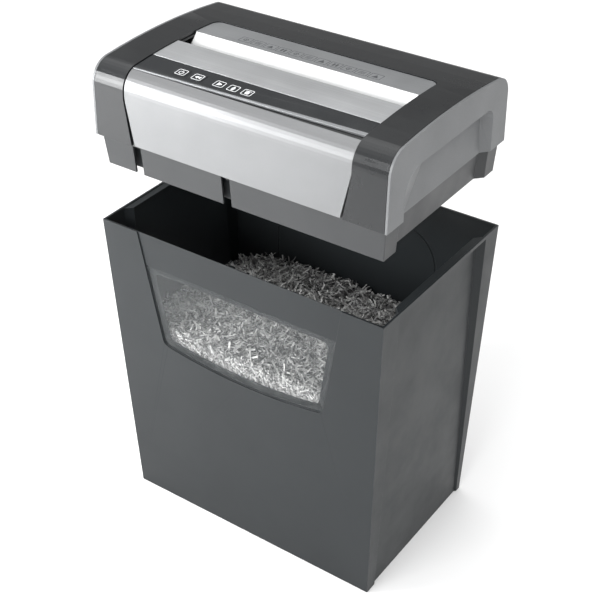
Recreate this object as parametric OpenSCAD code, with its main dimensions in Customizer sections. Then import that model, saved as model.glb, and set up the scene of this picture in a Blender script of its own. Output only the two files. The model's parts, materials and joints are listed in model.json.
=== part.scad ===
/* [Bin] */
// Width of the bin at its rim
rim_w = 350; // [330:1:370]
// Depth of the bin at its rim
rim_d = 226; // [216:1:240]
// Height of the bin
bin_h = 367; // [340:1:400]
// Width of the bin at its base
base_w = 323; // [310:1:330]
// How far the front wall leans in at the base
front_rake = 8; // [4:0.5:12]
// How far the rear wall leans in at the base
rear_rake = 13; // [6:0.5:16]
// Wall thickness of the bin
bin_wall = 2.5; // [2:0.1:3]
// Depth of the side panels' recess just below the rim
recess_top = 7.7; // [6:0.1:8.5]
// Depth of the side panels' recess at the base
recess_base = 2.2; // [1.5:0.1:4]

/* [Contents] */
// Height of the shredded paper at the front of the bin
heap_front_h = 243; // [150:1:255]
// Height of the shredded paper at the back of the bin
heap_back_h = 228; // [150:1:255]

/* [Head] */
// How far the head is lifted off the bin in the rest pose
head_lift = 99.5; // [60:0.5:150]
// Width of the head over its side panels
head_w = 347; // [341:1:349]
// Half width of the panels in the middle of the head
centre_hw = 133.8; // [128:0.1:136]
// Half width of the front opening at its bottom edge
centre_foot_hw = 125.6; // [120:0.1:128]
// Depth of the skirt below the head's bottom edge
skirt_h = 34.6; // [28:0.1:38]
// Thickness of the head's outer skin
skin = 2.5; // [2:0.1:3]

/* [Feed slot] */
// Front edge of the slot, front to back
slot_front_y = -22.3; // [-26:0.1:-20]
// Rear edge of the slot
slot_rear_y = 6; // [4:0.1:8]
// Middle of the narrow throat over the cutters
throat_y = -13.5; // [-15:0.1:-12]
// Width of the throat
throat_gap = 6; // [5:0.1:7]

/* [Keys] */
// Across from the middle to the power key
power_x = -84; // [-90:0.5:-80]
// Across from the middle to the reverse key
reverse_x = -64; // [-66:0.5:-60]
// Width of a key
key_w = 15; // [12:0.1:16]
// Length of a key, front to back
key_l = 13; // [11:0.1:15]

/* [Cutters] */
// Distance between the two cutter shafts
shaft_gap = 28; // [27.6:0.1:28.4]
// Height of the cutter shafts above the head's bottom edge
shaft_z = 32; // [31:0.1:34]
// Radius of a cutter disc
disc_r = 15.5; // [15:0.1:15.6]
// Thickness of a cutter disc
disc_t = 3.6; // [3.2:0.1:3.7]
// Discs on each shaft
disc_count = 28; // [20:1:28]

/* [Hidden] */
$fn = 48;
eps = 0.01;

// Colours
gunmetal = "#4c5052";
side_grey = "#85878a";
silver = "#c5c7c9";
bin_grey = "#4e5254";
black = "#202224";
steel = "#b8bcc0";
nylon = "#e4e0d4";

// ---- General shapes ----
function arc(cx, cy, r, a0, a1, n) =
    [for (i = [0:n]) let (a = a0 + (a1 - a0) * i / n) [cx + r * cos(a), cy + r * sin(a)]];
function lerp(a, b, t) = a + (b - a) * t;

// Stretches a side-view outline (depth, height) across the width from x0 to x1
module along_x(x0, x1) {
    translate([x0, 0, 0]) rotate([90, 0, 90]) linear_extrude(x1 - x0) children();
}

// Stretches a front-view outline (width, height) from y0 back to y1
module along_y(y0, y1) {
    translate([0, y1, 0]) rotate([90, 0, 0]) linear_extrude(y1 - y0) children();
}

// Solid between two outlines with the same number of points, at heights z0 and z1
module loft(lower, z0, upper, z1) {
    n = len(lower);
    pts = concat([for (p = lower) [p[0], p[1], z0]], [for (p = upper) [p[0], p[1], z1]]);
    sides = [for (i = [0:n - 1]) let (j = (i + 1) % n) each [[i, n + i, n + j], [i, n + j, j]]];
    caps = [[for (i = [0:n - 1]) i], [for (i = [n - 1:-1:0]) n + i]];
    polyhedron(pts, concat(caps, sides));
}

module block(x0, x1, y0, y1, z0, z1) {
    translate([x0, y0, z0]) cube([x1 - x0, y1 - y0, z1 - z0]);
}

module rod_x(x0, x1, y, z, r) {
    translate([x0, y, z]) rotate([0, 90, 0]) cylinder(h = x1 - x0, r = r);
}

module both_sides() {
    children();
    mirror([1, 0, 0]) children();
}

// ---- Bin ----
front_lean = atan(front_rake / bin_h);
rear_lean = atan(rear_rake / bin_h);
bin_floor = 3;
// Side recess: where it starts and ends along the depth, at the rim and at the base
recess_y_top = [-84, 86];
recess_y_base = [-90, 92.5];
recess_cap = 4;
ledge_drop = 1;
// Sunk trapezium on the front, measured down from the rim along the wall
sunk_hw_rim = 127.7;
sunk_hw_low = 104.5;
sunk_corner_v = -137.5;
sunk_sag = 10;
sunk_depth = 1.5;
step_v = -39.5;
pane_seat = 2;
pane_t = 1.6;
pane_border = 8.5;
pad_t = 2;

function bin_hw(z) = lerp(base_w, rim_w, z / bin_h) / 2;
function bin_front(z) = -rim_d / 2 + front_rake * (1 - z / bin_h);
function bin_rear(z) = rim_d / 2 - rear_rake * (1 - z / bin_h);
function bin_rect(z, t) = [[-bin_hw(z) + t, bin_front(z) + t], [bin_hw(z) - t, bin_front(z) + t],
    [bin_hw(z) - t, bin_rear(z) - t], [-bin_hw(z) + t, bin_rear(z) - t]];
function recess_depth(z) = lerp(recess_base, recess_top, z / bin_h);
function recess_y(z, i) = lerp(recess_y_base[i], recess_y_top[i], z / bin_h);
// Plan outline of one side recess at height z, its walls moved t into the bin
function recess_ring(z, t) = let (
    hw = bin_hw(z), d = recess_depth(z) + t, out = 6, shift = t * (1 - sqrt(2)),
    a = recess_y(z, 0), b = recess_y(z, 1))
    [[hw - d, a + d + shift], [hw + out, a - out + shift],
        [hw + out, b + out - shift], [hw - d, b - d - shift]];

module bin_solid(t, z0, z1) {
    loft(bin_rect(z0, t), z0, bin_rect(z1, t), z1);
}

module side_recess(t, z0, z1) {
    both_sides() loft(recess_ring(z0, t), z0, recess_ring(z1, t), z1);
}

// Puts a flat outline (across, up from the rim) on the front wall, facing out
module on_front_wall(depth0, depth1) {
    translate([0, -rim_d / 2, bin_h]) rotate([90 + front_lean, 0, 0])
        translate([0, 0, -depth1]) linear_extrude(depth1 - depth0) children();
}

// Puts a flat outline (across, up from the rim) on the inside of the rear wall, facing in
module on_rear_wall(height0, height1) {
    translate([0, rim_d / 2, bin_h]) rotate([90 - rear_lean, 0, 0])
        translate([0, 0, height0]) linear_extrude(height1 - height0) children();
}

// Outline of the sunk trapezium: straight sides, rounded corners, gently bowed bottom
function sunk_outline() = let (
    half = sunk_hw_low, r = (half * half + sunk_sag * sunk_sag) / (2 * sunk_sag), a = asin(half / r))
    concat([[sunk_hw_rim + 3, 18], [-sunk_hw_rim - 3, 18]],
        arc(0, sunk_corner_v - sunk_sag + r, r, 270 - a, 270 + a, 16));

module sunk_area(inset) {
    offset(r = 9 - inset) offset(delta = -9) polygon(sunk_outline());
}

module below_line(v) {
    translate([-200, v - 300]) square([400, 300]);
}

// Arched groove on the inside of the rear wall
arch_hw = 107.5;
arch_top = 333;
arch_r = 47;
module arch_area() {
    translate([-arch_hw, 40]) square([2 * arch_hw, arch_top - arch_r - 40]);
    for (s = [-1, 1]) translate([s * (arch_hw - arch_r), arch_top - arch_r]) circle(r = arch_r);
    translate([-arch_hw + arch_r, 40]) square([2 * (arch_hw - arch_r), arch_top - 40]);
}

module bin_tub() {
    color(bin_grey) difference() {
        bin_solid(0, 0, bin_h);
        side_recess(0, -1, bin_h - recess_cap);
        // inside, kept clear of the side recesses and of the pad behind the window
        difference() {
            bin_solid(bin_wall, bin_floor, bin_h + 1);
            side_recess(bin_wall, bin_floor - 1, bin_h - ledge_drop);
            on_front_wall(bin_wall - 1, bin_wall + pad_t) intersection() {
                sunk_area(-6);
                below_line(-8);
            }
        }
        on_front_wall(-3, sunk_depth) sunk_area(0);
        on_front_wall(0, sunk_depth + pane_seat) intersection() {
            sunk_area(0.8);
            below_line(step_v);
        }
        on_front_wall(0, 20) offset(r = 6) offset(delta = -6) intersection() {
            sunk_area(pane_border);
            below_line(step_v - 7.5);
        }
        on_rear_wall(bin_wall - 1, bin_wall + 1) translate([0, -bin_h]) difference() {
            arch_area();
            offset(delta = -2.5) arch_area();
        }
    }
    // rib on the inside of the front wall that works the interlock
    color(bin_grey) difference() {
        block(-15, -10, -rim_d / 2 + 2.6, -99, bin_h - 40, bin_h - 7);
        translate([0, -112.2, bin_h - 50]) rotate([-20, 0, 0]) block(-20, 0, 13.4, 40, -60, 40);
    }
}

module bin_window() {
    color("#9fb0b8", 0.35) on_front_wall(sunk_depth + pane_seat - pane_t, sunk_depth + pane_seat)
        intersection() {
            sunk_area(1.2);
            below_line(step_v - 0.4);
        }
}

// ---- Contents ----
heap_wall = 3;
heap_gap = 1.2;
module heap_block(t, z0, z1) {
    difference() {
        loft(heap_rect(z0, t), z0, heap_rect(z1, t), z1);
        side_recess(bin_wall + heap_gap + t, z0 - 1, z1 + 1);
    }
}
function heap_rect(z, t) = let (g = bin_wall + heap_gap + t, f = bin_front(z) + g + pad_t)
    [[-bin_hw(z) + g, f], [bin_hw(z) - g, f], [bin_hw(z) - g, bin_rear(z) - g],
        [-bin_hw(z) + g, bin_rear(z) - g]];
// Everything above the sloping top of the heap, t lower than its surface
module above_heap(t) {
    along_x(-200, 200) polygon([[-130, heap_front_h - t + 1], [-60, heap_front_h - t + 6],
        [50, heap_back_h - t + 4], [130, heap_back_h - t - 2], [130, 400], [-130, 400]]);
}
module paper_shreds() {
    color("#d8d8d4") difference() {
        heap_block(0, bin_floor + 0.2, 300);
        above_heap(0);
        difference() {
            heap_block(heap_wall, bin_floor - 1, 300);
            above_heap(heap_wall);
        }
    }
}

// ---- Head: common outline ----
head_z = bin_h + 0.5 + head_lift;
// Side view: front bend, crown and rear bend are arcs that run into each other
front_bend_y = -84.8;
front_bend_r = 24;
rear_bend_y = 87.5;
rear_bend_r = 21;
crown_y = -12.6;
crown_z = 80.45;
crown_r = 828;
front_slope = 2.5;
rear_slope = 1.3;
crown_cz = crown_z - crown_r;
front_bend_z = crown_cz + sqrt(pow(crown_r - front_bend_r, 2) - pow(front_bend_y - crown_y, 2));
rear_bend_z = crown_cz + sqrt(pow(crown_r - rear_bend_r, 2) - pow(rear_bend_y - crown_y, 2));
front_top_a = atan2(front_bend_z - crown_cz, front_bend_y - crown_y);
rear_top_a = atan2(rear_bend_z - crown_cz, rear_bend_y - crown_y);

function front_y(t, z) =
    front_bend_y - (front_bend_r - t + (front_bend_z - z) * sin(front_slope)) / cos(front_slope);
function rear_y(t, z) =
    rear_bend_y + (rear_bend_r - t + (rear_bend_z - z) * sin(rear_slope)) / cos(rear_slope);
// Side outline, t inside the outer skin and cut off level at height z0
function head_outline(t, z0) = concat([[front_y(t, z0), z0]],
    arc(front_bend_y, front_bend_z, front_bend_r - t, 180 - front_slope, front_top_a, 10),
    arc(crown_y, crown_cz, crown_r - t, front_top_a, rear_top_a, 8),
    arc(rear_bend_y, rear_bend_z, rear_bend_r - t, rear_top_a, rear_slope, 10),
    [[rear_y(t, z0), z0]]);
function crown_at(y, t) = crown_cz + sqrt(pow(crown_r - t, 2) - pow(y - crown_y, 2));

module on_head() {
    translate([0, 0, head_z]) children();
}

// Curved sheet that follows the head's outline between two depths below the skin
module head_sheet(t0, t1, x1) {
    along_x(-x1, x1) difference() {
        polygon(head_outline(t0, 0));
        polygon(head_outline(t1, -1));
    }
}

// Front view of the opening between the columns, g smaller at the top and foot_g at the foot
opening_knee_z = 47;
module centre_front_view(g, foot_g) {
    polygon([[-centre_foot_hw + foot_g, -1], [-centre_hw + g, opening_knee_z], [-centre_hw + g, 100],
        [centre_hw - g, 100], [centre_hw - g, opening_knee_z], [centre_foot_hw - foot_g, -1]]);
}

// Column of material standing on a plan outline
module over_plan(z0 = -5, z1 = 100) {
    translate([0, 0, z0]) linear_extrude(z1 - z0) children();
}

panel_drop = 1;
panel_t = 2.2;
opening_rear_y = 42.5;
front_top_y = -92.6;
strip_rear_y = -61.4;
strip_front_left_y = -90.7;
strip_front_right_y = -81.1;
trim_front_left_y = -91.9;
trim_front_right_y = -86.3;

module centre_plan(y0, y1, g, r) {
    translate([0, (y0 + y1) / 2]) offset(r = r) offset(delta = -r)
        square([2 * (centre_hw - g), y1 - y0], center = true);
}

side_gap = 0.5;
side_t = 2.5;
frame_hw = head_w / 2 - side_t - side_gap;

module top_frame() {
    color(gunmetal) on_head() difference() {
        head_sheet(0, skin, frame_hw);
        intersection() {
            along_y(-150, opening_rear_y) centre_front_view(0, 0);
            over_plan() union() {
                centre_plan(0, opening_rear_y, 0, 9);
                translate([-200, -150]) square([400, 180]);
            }
        }
        rear_vent_slots();
        rod_y(gland_y0 - 4, 120, gland_x, gland_z, gland_r);
    }
    // posts for the housing screws
    color(gunmetal) on_head() both_sides() for (p = post_spots) translate([p[0], p[1], 0]) difference() {
        cylinder(h = crown_at(p[1], skin) + 0.5, r = 3.3);
        translate([0, 0, -1]) cylinder(h = 17, r = 1.8);
    }
}

module rod_y(y0, y1, x, z, r) {
    translate([x, y1, z]) rotate([90, 0, 0]) cylinder(h = y1 - y0, r = r);
}

// Dark deck just under the middle panels; it carries them and closes the gaps between them
deck_drop = panel_drop + panel_t + 0.2;
module inner_deck() {
    color(black) on_head() difference() {
        intersection() {
            head_sheet(deck_drop, deck_drop + 2, centre_hw + 4);
            over_plan() translate([-200, -140]) square([400, 140 + opening_rear_y + 3]);
        }
        block(-centre_hw + 1.6, centre_hw - 1.6, slot_front_y - 2.8, slot_rear_y + 1.5, 40, 100);
        block(lock_x - 13, lock_x + 13, -120, -90, -2, 17);
        for (x = [power_x, reverse_x]) key_plan(x, key_gap, 40);
        for (x = lens_x) block(x - 2.6, x + 2.6, key_y - 2.6, key_y + 2.6, 40, 100);
    }
}

module panel_sheet(drop, t) {
    head_sheet(drop, drop + t, centre_hw);
}

module front_panel() {
    color(silver) on_head() intersection() {
        panel_sheet(panel_drop, panel_t);
        along_y(-150, front_top_y) centre_front_view(0.7, 3.2);
    }
}

module trim_strip() {
    color("#a9acae") on_head() intersection() {
        panel_sheet(panel_drop, 2);
        over_plan() polygon([[-centre_hw + 0.5, strip_front_left_y - 0.3],
            [centre_hw - 0.5, strip_front_right_y - 0.3], [centre_hw - 0.5, trim_front_right_y],
            [-centre_hw + 0.5, trim_front_left_y]]);
    }
}

key_y = -76.5;
key_gap = 0.35;
lens_x = [-37.7, -21, -4.5];
lens_r = 2;
module control_strip() {
    color(black) on_head() difference() {
        intersection() {
            panel_sheet(panel_drop, panel_t);
            over_plan() polygon([[-centre_hw + 0.5, strip_rear_y], [centre_hw - 0.5, strip_rear_y],
                [centre_hw - 0.5, strip_front_right_y], [-centre_hw + 0.5, strip_front_left_y]]);
        }
        for (x = [power_x, reverse_x]) key_plan(x, key_gap, 40);
        for (x = lens_x) translate([x, key_y, 40]) cylinder(h = 60, r = lens_r + 0.02);
    }
}

module key_plan(x, grow, z0) {
    translate([x, key_y, z0]) linear_extrude(100) offset(r = 2)
        square([key_w - 4 + 2 * grow, key_l - 4 + 2 * grow], center = true);
}

module name_strip() {
    color(silver) on_head() intersection() {
        panel_sheet(panel_drop, panel_t);
        over_plan() translate([0, (strip_rear_y + 0.8 + slot_front_y) / 2])
            square([2 * centre_hw - 1, slot_front_y - strip_rear_y - 0.8], center = true);
    }
}

module rear_panel() {
    color("#9b9da0") on_head() intersection() {
        panel_sheet(panel_drop, panel_t);
        over_plan() union() {
            centre_plan(slot_rear_y, opening_rear_y - 0.6, 0.5, 8.5);
            translate([-centre_hw + 0.5, slot_rear_y]) square([2 * centre_hw - 1, 12]);
        }
    }
}

// ---- Feed slot guides ----
guide_hw = centre_hw - 2;
guide_foot_z = 51;
guide_t = 2;
module guide_rear() {
    top = crown_at(slot_rear_y, panel_drop);
    y_throat = throat_y + throat_gap / 2;
    color("white") on_head() difference() {
        along_x(-guide_hw, guide_hw) polygon([[slot_rear_y - 0.1, top],
            [y_throat, 63], [y_throat, guide_foot_z], [y_throat + guide_t, guide_foot_z],
            [y_throat + guide_t, 62], [slot_rear_y - 0.1, top - 4]]);
        beside_throat();
    }
}
// Where the guides stop short of the gears at both ends
module beside_throat() {
    both_sides() block(plate_x1 + 1.5, guide_hw + 5, -40, 10, 40, 66);
}

module guide_front() {
    top = crown_at(slot_front_y, panel_drop + panel_t);
    y_throat = throat_y - throat_gap / 2;
    color(black) on_head() difference() {
        along_x(-guide_hw, guide_hw) polygon([[slot_front_y, top - 0.2],
            [y_throat, 62], [y_throat, guide_foot_z], [y_throat - guide_t, guide_foot_z],
            [y_throat - guide_t, 61], [slot_front_y - guide_t, top - 2.4]]);
        beside_throat();
    }
}

// ---- Side panels with the hand recess ----
grip_y = [-83, 81];
grip_top = 48;
grip_depth_low = 7.5;
grip_depth_high = 10.5;
module grip_mouth(grow) {
    polygon(concat([[grip_y[0] - grow, -1 - grow], [grip_y[0] - grow, 20]],
        arc(grip_y[0] + 26, 22, 26 + grow, 180, 90, 6),
        arc(grip_y[1] - 12, grip_top - 12, 12 + grow, 90, 0, 5), [[grip_y[1] + grow, -1 - grow]]));
}
// Hollow of the hand recess, its walls moved t inward
module grip_hollow(t) {
    hw = head_w / 2;
    low = hw - grip_depth_low - t;
    high = hw - grip_depth_high - t;
    hull() {
        along_x(hw, hw + 1) grip_mouth(t);
        for (p = [[grip_y[0] + 9, -1, low], [grip_y[1] - 9, -1, low], [grip_y[1] - 9, 41, high],
            [grip_y[0] + 50, 41, high]]) translate([p[2], p[0], p[1] - (p[1] < 0 ? t : -t)])
            cube([0.1, 0.1, 0.1]);
    }
}

module side_panel() {
    hw = head_w / 2;
    difference() {
        union() {
            along_x(hw - side_t, hw) polygon(head_outline(0, 0));
            intersection() {
                grip_hollow(side_t);
                along_x(frame_hw - 20, hw) polygon(head_outline(skin + 0.5, 0));
            }
        }
        grip_hollow(0);
    }
}
module side_panel_right() {
    color(side_grey) on_head() side_panel();
}
module side_panel_left() {
    color(side_grey) on_head() mirror([1, 0, 0]) side_panel();
}

// ---- Lower housing ----
skirt_hw = [166.4, 169.1];
skirt_front = [-103.3, -106];
skirt_rear = [105, 106];
skirt_inset = [7.8, 6];
floor_t = 3;
outlet_hw = 114;
outlet_y = [-46, 19];
housing_top = -0.3;
skirt_t = 2.5;
post_r = 3.3;
post_spots = [[156.4, -60], [156.4, 60]];
notch_run = 9;
function skirt_at(pair, z) = lerp(pair[0], pair[1], (z + skirt_h) / skirt_h);
function skirt_rect(z, t) = let (
    hw = skirt_at(skirt_hw, z) - t, a = skirt_at(skirt_front, z) + t, b = skirt_at(skirt_rear, z) - t)
    [[-hw, a], [hw, a], [hw, b], [-hw, b]];
// Plan outline of the notch in each side, its walls moved t inward
function notch_ring(z, t) = let (
    hw = skirt_at(skirt_hw, z), d = skirt_at(skirt_inset, z) + t, a = grip_y[0] - t * 0.5,
    b = grip_y[1] + 6 + t * 0.5, out = 5)
    [[hw - d, a + notch_run], [hw + out, a - out], [hw + out, b + out], [hw - d, b - notch_run]];
skirt_slot_x = [-124.5, -12.5];
skirt_slot_w = 10;
screen_hw = 18;
screen_y = -96.5;
module skirt_solid(t, z0, z1) {
    difference() {
        loft(skirt_rect(z0, t), z0, skirt_rect(z1, t), z1);
        both_sides() loft(notch_ring(z0 - 1, t), z0 - 1, notch_ring(z1 + 1, t), z1 + 1);
    }
}
module lower_housing() {
    floor_z = housing_top - floor_t;
    color("#66686a") on_head() difference() {
        skirt_solid(0, -skirt_h, housing_top);
        skirt_solid(skirt_t, -skirt_h - 1, floor_z);
        block(-outlet_hw, outlet_hw, outlet_y[0], outlet_y[1], floor_z - 1, 5);
        for (x = skirt_slot_x) block(x - skirt_slot_w / 2, x + skirt_slot_w / 2, -115, -98,
            -skirt_h - 2, x == skirt_slot_x[1] ? 5 : floor_z - 0.5);
        both_sides() for (p = post_spots) translate([p[0], p[1], floor_z - 2])
            cylinder(h = floor_t + 4, r = post_r - 1.5);
    }
    // chute walls around the outlet
    color("#66686a") on_head() difference() {
        block(-outlet_hw - 2, outlet_hw + 2, outlet_y[0] - 2, outlet_y[1] + 2, -24, floor_z + 1);
        block(-outlet_hw, outlet_hw, outlet_y[0], outlet_y[1], -30, 5);
    }
    // closed backs of the skirt's two slots
    color("#66686a") on_head() for (x = skirt_slot_x)
        block(x - screen_hw, x + screen_hw, screen_y, screen_y + 2, -skirt_h + 3, floor_z + 1);
    // bosses under the end plates
    color("#66686a") on_head() both_sides() for (y = [-38, 14])
        block(plate_x0 - 1, plate_x0 + 9, y - 4, y + 4, floor_z + 1, plate_foot_z);
}

// ---- Rear wall fittings ----
gland_x = 138;
gland_z = 14;
gland_r = 7.5;
gland_y0 = 100;
vent_z = [26, 33, 40, 47];
vent_hw = 62;
module rear_vent_slots() {
    block(-vent_hw - 4, vent_hw + 4, 100, 120, 20, 53);
}
module rear_vent() {
    color(black) on_head() difference() {
        intersection() {
            along_x(-vent_hw - 3.7, vent_hw + 3.7) difference() {
                polygon(head_outline(0.8, 0));
                polygon(head_outline(0.8 + 2.4, -1));
            }
            block(-200, 200, 90, 120, 20.3, 52.7);
        }
        for (z = vent_z, x = [-vent_hw:16:vent_hw - 14])
            block(x, x + 13, 90, 125, z - 1.6, z + 1.6);
    }
}
module cord_gland() {
    color(black) on_head() difference() {
        union() {
            rod_y(gland_y0, 111.5, gland_x, gland_z, gland_r - 0.05);
            rod_y(110, 112.6, gland_x, gland_z, gland_r + 2);
            rod_y(gland_y0, 105.5, gland_x, gland_z, gland_r + 1.5);
        }
        rod_y(gland_y0 - 1, 120, gland_x, gland_z, 3.6);
    }
}

// ---- Keys, lenses and the boards behind them ----
board_z = 62;
board_t = 1.6;
key_seat_z = 74.4;
switch_top_z = board_z + board_t + 3.5;
module key_cap(x) {
    on_head() {
        intersection() {
            head_sheet(panel_drop - 0.3, panel_drop + 2, centre_hw);
            key_plan(x, 0, 40);
        }
        intersection() {
            along_x(-centre_hw, centre_hw) polygon(head_outline(panel_drop + 1.9, -1));
            translate([x, key_y, key_seat_z]) cylinder(h = 3, r = 5.2);
        }
        translate([x, key_y, switch_top_z + 1.1])
            cylinder(h = key_seat_z - switch_top_z - 1.1 + eps, r = 1.8);
    }
}
module power_key() {
    color(black) key_cap(power_x);
}
module reverse_key() {
    color(black) key_cap(reverse_x);
}

// Round wire swept along a helix about +Z
module coil_spring(coil_r, wire_r, z0, z1, turns) {
    sides = 6;
    steps = 12;
    n = turns * steps;
    rise = z1 - z0 - 2 * wire_r;
    function ring(i) = let (a = 360 * i / steps, z = z0 + wire_r + rise * i / n)
        [for (k = [0:sides - 1]) let (b = 360 * k / sides, r = coil_r + wire_r * cos(b))
            [r * cos(a), r * sin(a), z + wire_r * sin(b)]];
    pts = [for (i = [0:n]) each ring(i)];
    walls = [for (i = [0:n - 1], k = [0:sides - 1])
        let (a = i * sides + k, b = i * sides + (k + 1) % sides)
        each [[a, b, b + sides], [a, b + sides, a + sides]]];
    polyhedron(pts, concat([[for (k = [sides - 1:-1:0]) k]],
        [[for (k = [0:sides - 1]) n * sides + k]], walls));
}
module key_spring(x) {
    color(steel) on_head() translate([x, key_y, 0])
        coil_spring(4.3, 0.35, board_z + board_t, key_seat_z, 4);
}
module power_spring() {
    key_spring(power_x);
}
module reverse_spring() {
    key_spring(reverse_x);
}

module indicator_lenses() {
    color("#dfe8ea") on_head() intersection() {
        head_sheet(panel_drop, panel_drop + 4, centre_hw);
        for (x = lens_x) translate([x, key_y, 40]) cylinder(h = 60, r = lens_r);
    }
}

module control_board() {
    color("#2f6b46") on_head() {
        block(-96, 6, -86, -66, board_z, board_z + board_t);
        for (x = [power_x, reverse_x]) block(x - 2.5, x + 2.5, key_y - 2.5, key_y + 2.5,
            board_z + board_t, switch_top_z);
        for (x = lens_x) translate([x, key_y, board_z + board_t]) cylinder(h = 5, r = 1.5);
        for (x = [-93, 3], y = [-83, -69]) translate([x, y, board_z + board_t])
            cylinder(h = crown_at(y, deck_drop + 2) - board_z - board_t - 0.6, r = 2);
    }
}

main_x = [-150, -24];
main_y = [34, 98];
main_z = 8;
module main_board() {
    color("#2f6b46") on_head() {
        block(main_x[0], main_x[1], main_y[0], main_y[1], main_z, main_z + board_t);
        for (x = [main_x[0] + 5, main_x[1] - 5], y = [main_y[0] + 5, main_y[1] - 5])
            translate([x, y, -0.3]) cylinder(h = main_z + 0.3, r = 3);
    }
    // transformer, relay, filter capacitor, rectifier and terminal block
    color(black) on_head() translate([0, 0, main_z + board_t]) {
        block(-140, -104, 50, 84, 0, 28);
        block(-98, -78, 70, 84, 0, 16);
        translate([-88, 50, 0]) cylinder(h = 26, r = 9);
        block(-70, -66, 50, 82, 0, 22);
        block(-52, -30, 42, 52, 0, 12);
    }
}

module paper_sensor() {
    color(black) on_head() for (s = [-1, 1]) {
        y = throat_y + s * (throat_gap / 2 + guide_t + 3);
        block(-4, 4, y - 3, y + 3, 52, 59);
    }
}

// ---- Cutting block ----
plate_x0 = 117.5;
plate_t = 3;
plate_foot_z = 2;
notch_z = guide_foot_z - 1.5;
plate_x1 = plate_x0 + plate_t;
front_shaft_y = throat_y - shaft_gap / 2;
rear_shaft_y = throat_y + shaft_gap / 2;
journal_r = 5;
bush_r = 8;
hex_r = 8;
spacer_r = 11.2;
pitch = 8;
running = 0.05;
rod_spots = [[-42, 8], [-45, 54], [22, 54], [19, 8]];
rod_r = 3;

// Drive: centres in side view, worked out from the tooth counts
final_m = 1.5;
second_m = 1;
first_m = 0.8;
sync_m = 2;
final_n = 36;
second_pinion_n = 12;
second_n = 44;
first_pinion_n = 12;
first_n = 50;
motor_n = 10;
sync_n = 14;
function step_from(p, dist, a) = [p[0] + dist * cos(a), p[1] + dist * sin(a)];
rear_c = [rear_shaft_y, shaft_z];
second_a = 13;
first_a = 18;
motor_a = -48;
second_c = step_from(rear_c, final_m * (final_n + second_pinion_n) / 2, second_a);
first_c = step_from(second_c, second_m * (second_n + first_pinion_n) / 2, first_a);
motor_c = step_from(first_c, first_m * (first_n + motor_n) / 2, motor_a);
pin_r = 3;
motor_shaft_r = 2.5;

module at_yz(p, x0) {
    translate([x0, p[0], p[1]]) rotate([90, 0, 90]) children();
}

module plate_holes(x0) {
    for (y = [front_shaft_y, rear_shaft_y]) at_yz([y, shaft_z], x0 - 1) cylinder(h = 9, r = bush_r);
}

module plate_left() {
    color(steel) on_head() difference() {
        along_x(-plate_x1, -plate_x0) polygon([[-50, plate_foot_z], [27, plate_foot_z], [27, 60],
            [16, 60], [12, notch_z], [-36, notch_z], [-40, 60], [-50, 60]]);
        plate_holes(-plate_x1);
    }
}

// Gap in the foot of the motor-side plate for the mains cable
cable_notch = [52, 77];
cable_notch_z = 8;
module plate_right() {
    color(steel) on_head() difference() {
        along_x(plate_x0, plate_x1) polygon([[-50, plate_foot_z], [103, plate_foot_z], [103, 50],
            [92, 64], [72, 70], [24, 70], [12, notch_z], [-36, notch_z], [-40, 60], [-50, 60]]);
        plate_holes(plate_x0);
        at_yz(motor_c, plate_x0 - 1) cylinder(h = 9, r = 8);
        for (p = [first_c, second_c]) at_yz(p, plate_x0 - 1) cylinder(h = 9, r = pin_r);
        block(plate_x0 - 1, plate_x1 + 1, cable_notch[0], cable_notch[1], 0, cable_notch_z);
    }
}

module tie_rods() {
    color(steel) on_head() for (p = rod_spots) rod_x(-plate_x0, plate_x0, p[0], p[1], rod_r);
}

module plate_screws() {
    color("#8d9195") on_head() both_sides() for (p = rod_spots) difference() {
        rod_x(plate_x1, plate_x1 + 2.4, p[0], p[1], 4.2);
        at_yz(p, plate_x1 + 1) cylinder(h = 3, r = 2, $fn = 6);
    }
}

module shaft_bushes() {
    color("#b08d4a") on_head() both_sides() for (y = [front_shaft_y, rear_shaft_y]) difference() {
        union() {
            rod_x(plate_x0, plate_x1, y, shaft_z, bush_r - 0.02);
            rod_x(plate_x1, plate_x1 + 1.2, y, shaft_z, bush_r + 2);
        }
        rod_x(plate_x0 - 1, plate_x1 + 3, y, shaft_z, journal_r + running);
    }
}

cutter_x0 = -disc_count * pitch / 2;
module cutter_shaft(y, x_right) {
    color(steel) on_head() {
        rod_x(-132, x_right, y, shaft_z, journal_r);
        at_yz([y, shaft_z], -plate_x0 + 0.5) cylinder(h = 2 * plate_x0 - 1, r = hex_r, $fn = 6);
    }
}

module disc_outline() {
    difference() {
        circle(r = disc_r);
        for (a = [0, 120, 240]) rotate(a) translate([disc_r - 2.6, 0])
            polygon([[0, 0], [5, -0.8], [5, 4.6]]);
    }
}
module disc_set(y, x0, turn) {
    color("#a9adb1") on_head() for (i = [0:disc_count - 1])
        at_yz([y, shaft_z], x0 + i * pitch) linear_extrude(disc_t) difference() {
            rotate(60 * (i % 6) + turn) disc_outline();
            circle(r = hex_r + 0.02, $fn = 6);
        }
}
module spacer_set(y, x0) {
    color(nylon) on_head() for (i = [0:disc_count - 2])
        at_yz([y, shaft_z], x0 + i * pitch + disc_t) linear_extrude(pitch - disc_t) difference() {
            circle(r = spacer_r);
            circle(r = hex_r + 0.02, $fn = 6);
        }
}

module stripper(y, x0, out) {
    bar_y = y + out * (disc_r + 1);
    color(black) on_head() {
        block(-plate_x0, plate_x0, min(bar_y, bar_y + out * 6), max(bar_y, bar_y + out * 6), 17, 47);
        for (i = [0:disc_count - 2]) difference() {
            block(x0 + i * pitch + disc_t + 0.4, x0 + (i + 1) * pitch - 0.4,
                min(y, bar_y + out * eps), max(y, bar_y + out * eps), 17, 47);
            rod_x(x0 + i * pitch, x0 + (i + 1) * pitch + 2, y, shaft_z, spacer_r + 0.4);
        }
    }
}

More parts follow.
